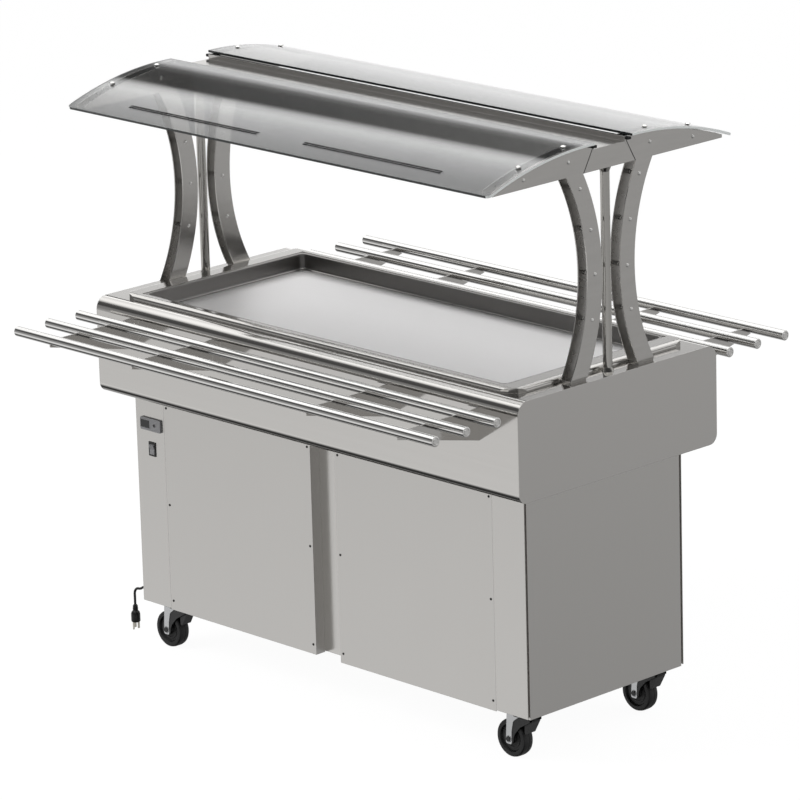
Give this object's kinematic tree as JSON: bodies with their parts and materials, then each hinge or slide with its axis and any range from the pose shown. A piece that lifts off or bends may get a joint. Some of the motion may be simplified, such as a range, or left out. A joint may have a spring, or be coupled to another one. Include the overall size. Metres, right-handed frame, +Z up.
{
  "type": "mobile salad bar",
  "caption": "Mobile refrigerated salad bar with a sunk well, curved glass guard on arched posts, tray rails on both sides, closed panelled body and braked swivel castors.",
  "frame": {"origin": "on the floor under the middle of the object", "axes": "+Z up, +X along the length away from the controls, controls and cord end towards -X, controls on the -Y side"},
  "size_m": [1.514, 1.2254, 1.5069],
  "materials": {
    "brushed_stainless": "fine brushed sheet steel",
    "polished_stainless": "polished steel tube",
    "well_liner": "pressed steel pan",
    "guard_steel": "satin sheet steel",
    "smoked_glass": "toughened clear glass",
    "black_plastic": "moulded plastic",
    "grey_plastic": "moulded plastic",
    "display_window": "gloss window",
    "cord_rubber": "cord sheath",
    "wheel_rubber": "moulded tyre and disc",
    "zinc_steel": "zinc-plated pressed steel",
    "dark_screws": "blackened steel",
    "brass_pins": "nickel-plated brass",
    "copper_tube": "drawn copper tube",
    "foam": "foam",
    "black_enamel": "enamelled steel shell",
    "aluminium_fins": "aluminium sheet"
  },
  "bodies": {
    "cart": {"casing_skin": "brushed_stainless", "casing_ends": "brushed_stainless", "well_rim": "brushed_stainless", "well_pan": "well_liner", "insulation": "foam", "evaporator_coil": "copper_tube", "drain_pipe": "well_liner", "base_plate": "brushed_stainless", "post_front_left": "brushed_stainless", "post_front_right": "brushed_stainless", "posts_back": "brushed_stainless", "centre_channels": "brushed_stainless", "panel_front_left": "brushed_stainless", "panel_front_right": "brushed_stainless", "panels_back": "brushed_stainless", "end_panels": "brushed_stainless", "panel_screws": "dark_screws", "thermostat_housing": "grey_plastic", "thermostat_display": "display_window", "switch_frame": "black_plastic", "cord_gland": "black_plastic", "power_cord": "cord_rubber", "plug_body": "black_plastic", "plug_pins": "brass_pins", "front_rail_tubes": "polished_stainless", "back_rail_tubes": "polished_stainless", "rail_end_caps": "polished_stainless", "front_brackets": "guard_steel", "back_brackets": "guard_steel", "bracket_bolts": "polished_stainless", "left_cheeks": "guard_steel", "right_cheeks": "guard_steel", "guard_spacers": "polished_stainless", "post_feet": "guard_steel", "centre_poles": "polished_stainless", "spine_beam": "guard_steel", "spine_end_plates": "guard_steel", "front_glass": "smoked_glass", "back_glass": "smoked_glass", "glass_standoffs": "polished_stainless", "compressor": "black_enamel", "condenser_coil": "aluminium_fins", "fan_motor": "black_enamel", "refrigerant_pipes": "copper_tube", "caster_plates": "zinc_steel"},
    "button": {"thermostat_button": "black_plastic"},
    "rocker": {"rocker": "black_plastic"},
    "fan": {"fan_blade": "black_plastic"},
    "swivel_front_left": {"fork_front_left": "black_enamel"},
    "roller_front_left": {"wheel_front_left": "wheel_rubber"},
    "brake_front_left": {"pedal_front_left": "dark_screws"},
    "swivel_front_right": {"fork_front_right": "black_enamel"},
    "roller_front_right": {"wheel_front_right": "wheel_rubber"},
    "brake_front_right": {"pedal_front_right": "dark_screws"},
    "swivel_back_left": {"fork_back_left": "black_enamel"},
    "roller_back_left": {"wheel_back_left": "wheel_rubber"},
    "brake_back_left": {"pedal_back_left": "dark_screws"},
    "swivel_back_right": {"fork_back_right": "black_enamel"},
    "roller_back_right": {"wheel_back_right": "wheel_rubber"},
    "brake_back_right": {"pedal_back_right": "dark_screws"}
  },
  "joints": [
    {"name": "button_press", "type": "slide", "parent": "cart", "child": "button", "axis": [0, 1, 0], "range_m": [0, 0.0012], "stiffness_N_per_m": 400},
    {"name": "rocker_tip", "type": "hinge", "parent": "cart", "child": "rocker", "pos_m": [-0.6315, -0.269, 0.5415], "axis": [1, 0, 0], "range_deg": [-16, 0]},
    {"name": "fan_spin", "type": "hinge", "parent": "cart", "child": "fan", "pos_m": [0.25, 0.138, 0.28], "axis": [0, 1, 0], "continuous": true},
    {"name": "swivel_front_left", "type": "hinge", "parent": "cart", "child": "swivel_front_left", "pos_m": [-0.6175, -0.219, 0.11], "axis": [0, 0, 1], "continuous": true},
    {"name": "roll_front_left", "type": "hinge", "parent": "swivel_front_left", "child": "roller_front_left", "pos_m": [-0.6425, -0.219, 0.048], "axis": [0, 1, 0], "continuous": true},
    {"name": "brake_front_left", "type": "hinge", "parent": "swivel_front_left", "child": "brake_front_left", "pos_m": [-0.59066, -0.219, 0.10176], "axis": [0, 1, 0], "range_deg": [0, 10]},
    {"name": "swivel_front_right", "type": "hinge", "parent": "cart", "child": "swivel_front_right", "pos_m": [0.6175, -0.219, 0.11], "axis": [0, 0, 1], "continuous": true},
    {"name": "roll_front_right", "type": "hinge", "parent": "swivel_front_right", "child": "roller_front_right", "pos_m": [0.5925, -0.219, 0.048], "axis": [0, 1, 0], "continuous": true},
    {"name": "brake_front_right", "type": "hinge", "parent": "swivel_front_right", "child": "brake_front_right", "pos_m": [0.64434, -0.219, 0.10176], "axis": [0, 1, 0], "range_deg": [0, 10]},
    {"name": "swivel_back_left", "type": "hinge", "parent": "cart", "child": "swivel_back_left", "pos_m": [-0.6175, 0.219, 0.11], "axis": [0, 0, 1], "continuous": true},
    {"name": "roll_back_left", "type": "hinge", "parent": "swivel_back_left", "child": "roller_back_left", "pos_m": [-0.6425, 0.219, 0.048], "axis": [0, 1, 0], "continuous": true},
    {"name": "brake_back_left", "type": "hinge", "parent": "swivel_back_left", "child": "brake_back_left", "pos_m": [-0.59066, 0.219, 0.10176], "axis": [0, 1, 0], "range_deg": [0, 10]},
    {"name": "swivel_back_right", "type": "hinge", "parent": "cart", "child": "swivel_back_right", "pos_m": [0.6175, 0.219, 0.11], "axis": [0, 0, 1], "continuous": true},
    {"name": "roll_back_right", "type": "hinge", "parent": "swivel_back_right", "child": "roller_back_right", "pos_m": [0.5925, 0.219, 0.048], "axis": [0, 1, 0], "continuous": true},
    {"name": "brake_back_right", "type": "hinge", "parent": "swivel_back_right", "child": "brake_back_right", "pos_m": [0.64434, 0.219, 0.10176], "axis": [0, 1, 0], "range_deg": [0, 10]}
  ]
}
